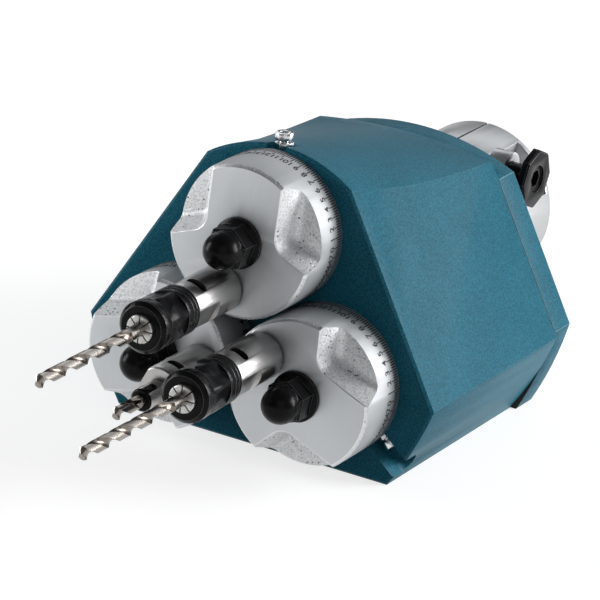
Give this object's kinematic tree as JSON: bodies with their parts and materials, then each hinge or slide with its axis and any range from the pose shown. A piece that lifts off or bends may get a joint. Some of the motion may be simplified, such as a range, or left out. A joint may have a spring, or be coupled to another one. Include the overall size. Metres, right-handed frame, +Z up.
{
  "type": "multi-spindle drilling head",
  "caption": "Multi-spindle drilling head: teal housing with swivelling eccentric discs, geared spindles with collet chucks and drills, and a split collar that clamps on a quill.",
  "frame": {"origin": "centre of the clamp collar's rear mouth, on the head's axis", "axes": "+Z up, +Y back along the head's axis out of the collar, spindles point along -Y"},
  "size_m": [0.2368, 0.5298, 0.1952],
  "materials": {
    "teal_paint": "satin powder coat",
    "turned_aluminium": "turned, with rough cast pockets",
    "bright_collar": "fine turned",
    "spindle_steel": "ground",
    "black_oxide": "black oxide, lightly oiled",
    "collet_steel": "ground",
    "drill_steel": "ground flutes",
    "bright_screw": "zinc plated",
    "gear_steel": "hobbed",
    "bearing_steel": "polished",
    "bush_bronze": "turned",
    "plate_iron": "machined",
    "gasket_black": "matt"
  },
  "bodies": {
    "base": {"main_housing": "teal_paint", "rear_cover": "teal_paint", "cover_gasket": "gasket_black", "cover_screws": "black_oxide", "bearing_plate": "plate_iron", "bearing_plate_screws": "black_oxide", "clamp_collar": "bright_collar", "collar_bolts": "black_oxide", "idler_studs": "gear_steel", "idler_bushes": "bush_bronze", "stud_nuts": "black_oxide", "clamp_lock_nuts": "bright_screw", "drive_bearing_outer_rings": "bearing_steel", "shaft_seal": "gasket_black"},
    "drive": {"drive_shaft": "gear_steel", "sun_gear": "gear_steel", "sun_key": "gear_steel", "drive_bearing_inner_rings": "bearing_steel"},
    "drive_balls": {"drive_bearing_balls": "bearing_steel"},
    "collar_screw": {"collar_clamp_screw": "black_oxide"},
    "idler_top": {"idler_gear_top": "gear_steel"},
    "disc_top": {"eccentric_disc_top": "turned_aluminium", "needle_cups_top": "bearing_steel"},
    "needles_top": {"needle_rollers_top": "bearing_steel"},
    "tool_top": {"spindle_top": "spindle_steel", "pinion_top": "gear_steel", "collet_chuck_top": "black_oxide", "collet_nut_top": "black_oxide", "collet_top": "collet_steel", "twist_drill_top": "drill_steel"},
    "nut_top": {"dome_nut_top": "black_oxide"},
    "clamp_screw_top": {"disc_clamp_screw_top": "bright_screw"},
    "idler_right": {"idler_gear_right": "gear_steel"},
    "disc_right": {"eccentric_disc_right": "turned_aluminium", "needle_cups_right": "bearing_steel"},
    "needles_right": {"needle_rollers_right": "bearing_steel"},
    "tool_right": {"spindle_right": "spindle_steel", "pinion_right": "gear_steel", "collet_chuck_right": "black_oxide", "collet_nut_right": "black_oxide", "collet_right": "collet_steel", "twist_drill_right": "drill_steel"},
    "nut_right": {"dome_nut_right": "black_oxide"},
    "clamp_screw_right": {"disc_clamp_screw_right": "bright_screw"},
    "idler_left": {"idler_gear_left": "gear_steel"},
    "disc_left": {"eccentric_disc_left": "turned_aluminium", "needle_cups_left": "bearing_steel"},
    "needles_left": {"needle_rollers_left": "bearing_steel"},
    "tool_left": {"spindle_left": "spindle_steel", "pinion_left": "gear_steel", "tool_holder": "black_oxide", "holder_set_screw": "black_oxide", "stub_drill": "drill_steel"},
    "nut_left": {"dome_nut_left": "black_oxide"},
    "clamp_screw_left": {"disc_clamp_screw_left": "bright_screw"}
  },
  "joints": [
    {"name": "drive_spin", "type": "hinge", "parent": "base", "child": "drive", "pos_m": [0, 0, 0], "axis": [0, -1, 0], "continuous": true},
    {"name": "drive_balls_roll", "type": "hinge", "parent": "base", "child": "drive_balls", "pos_m": [0, 0, 0], "axis": [0, -1, 0], "continuous": true},
    {"name": "collar_screw_turn", "type": "hinge", "parent": "base", "child": "collar_screw", "pos_m": [0.05, -0.0375, 0.0355], "axis": [1, 0, 0], "range_deg": [0, 90]},
    {"name": "idler_top_spin", "type": "hinge", "parent": "base", "child": "idler_top", "pos_m": [0, -0.2868, 0.0555], "axis": [0, -1, 0], "continuous": true},
    {"name": "disc_top_swivel", "type": "hinge", "parent": "base", "child": "disc_top", "pos_m": [0, -0.2868, 0.0555], "axis": [0, -1, 0], "range_deg": [-104, 16]},
    {"name": "needles_top_roll", "type": "hinge", "parent": "disc_top", "child": "needles_top", "pos_m": [-0.00868, -0.2868, 0.02522], "axis": [0, -1, 0], "range_deg": [-170, 27]},
    {"name": "tool_top_spin", "type": "hinge", "parent": "needles_top", "child": "tool_top", "pos_m": [-0.00868, -0.2868, 0.02522], "axis": [0, -1, 0], "continuous": true},
    {"name": "nut_top_turn", "type": "hinge", "parent": "base", "child": "nut_top", "pos_m": [0, -0.2868, 0.0555], "axis": [0, -1, 0], "range_deg": [0, 90]},
    {"name": "clamp_screw_top_turn", "type": "hinge", "parent": "base", "child": "clamp_screw_top", "pos_m": [0, -0.2758, 0.0555], "axis": [-0.0698, 0, 0.9976], "range_deg": [0, 90]},
    {"name": "idler_right_spin", "type": "hinge", "parent": "base", "child": "idler_right", "pos_m": [0.04806, -0.2868, -0.02775], "axis": [0, -1, 0], "continuous": true},
    {"name": "disc_right_swivel", "type": "hinge", "parent": "base", "child": "disc_right", "pos_m": [0.04806, -0.2868, -0.02775], "axis": [0, -1, 0], "range_deg": [-113, 7]},
    {"name": "needles_right_roll", "type": "hinge", "parent": "disc_right", "child": "needles_right", "pos_m": [0.02291, -0.2868, -0.00879], "axis": [0, -1, 0], "range_deg": [-184.62, 12.38]},
    {"name": "tool_right_spin", "type": "hinge", "parent": "needles_right", "child": "tool_right", "pos_m": [0.02291, -0.2868, -0.00879], "axis": [0, -1, 0], "continuous": true},
    {"name": "nut_right_turn", "type": "hinge", "parent": "base", "child": "nut_right", "pos_m": [0.04806, -0.2868, -0.02775], "axis": [0, -1, 0], "range_deg": [0, 90]},
    {"name": "clamp_screw_right_turn", "type": "hinge", "parent": "base", "child": "clamp_screw_right", "pos_m": [0.04806, -0.2758, -0.02775], "axis": [0.766, 0, -0.6428], "range_deg": [0, 90]},
    {"name": "idler_left_spin", "type": "hinge", "parent": "base", "child": "idler_left", "pos_m": [-0.04806, -0.2868, -0.02775], "axis": [0, -1, 0], "continuous": true},
    {"name": "disc_left_swivel", "type": "hinge", "parent": "base", "child": "disc_left", "pos_m": [-0.04806, -0.2868, -0.02775], "axis": [0, -1, 0], "range_deg": [-90, 30]},
    {"name": "needles_left_roll", "type": "hinge", "parent": "disc_left", "child": "needles_left", "pos_m": [-0.01656, -0.2868, -0.02775], "axis": [0, -1, 0], "range_deg": [-147.25, 49.75]},
    {"name": "tool_left_spin", "type": "hinge", "parent": "needles_left", "child": "tool_left", "pos_m": [-0.01656, -0.2868, -0.02775], "axis": [0, -1, 0], "continuous": true},
    {"name": "nut_left_turn", "type": "hinge", "parent": "base", "child": "nut_left", "pos_m": [-0.04806, -0.2868, -0.02775], "axis": [0, -1, 0], "range_deg": [0, 90]},
    {"name": "clamp_screw_left_turn", "type": "hinge", "parent": "base", "child": "clamp_screw_left", "pos_m": [-0.04806, -0.2758, -0.02775], "axis": [-0.766, 0, -0.6428], "range_deg": [0, 90]}
  ],
  "couplings": [
    {"joint": "drive_balls_roll", "follows": "drive_spin", "ratio": 0.4},
    {"joint": "idler_top_spin", "follows": "drive_spin", "ratio": -1.8462},
    {"joint": "tool_top_spin", "follows": "drive_spin", "ratio": 3},
    {"joint": "needles_top_roll", "follows": "disc_top_swivel", "ratio": 1.625},
    {"joint": "idler_right_spin", "follows": "drive_spin", "ratio": -1.8462},
    {"joint": "tool_right_spin", "follows": "drive_spin", "ratio": 3},
    {"joint": "needles_right_roll", "follows": "disc_right_swivel", "ratio": 1.625},
    {"joint": "idler_left_spin", "follows": "drive_spin", "ratio": -1.8462},
    {"joint": "tool_left_spin", "follows": "drive_spin", "ratio": 3},
    {"joint": "needles_left_roll", "follows": "disc_left_swivel", "ratio": 1.625}
  ]
}
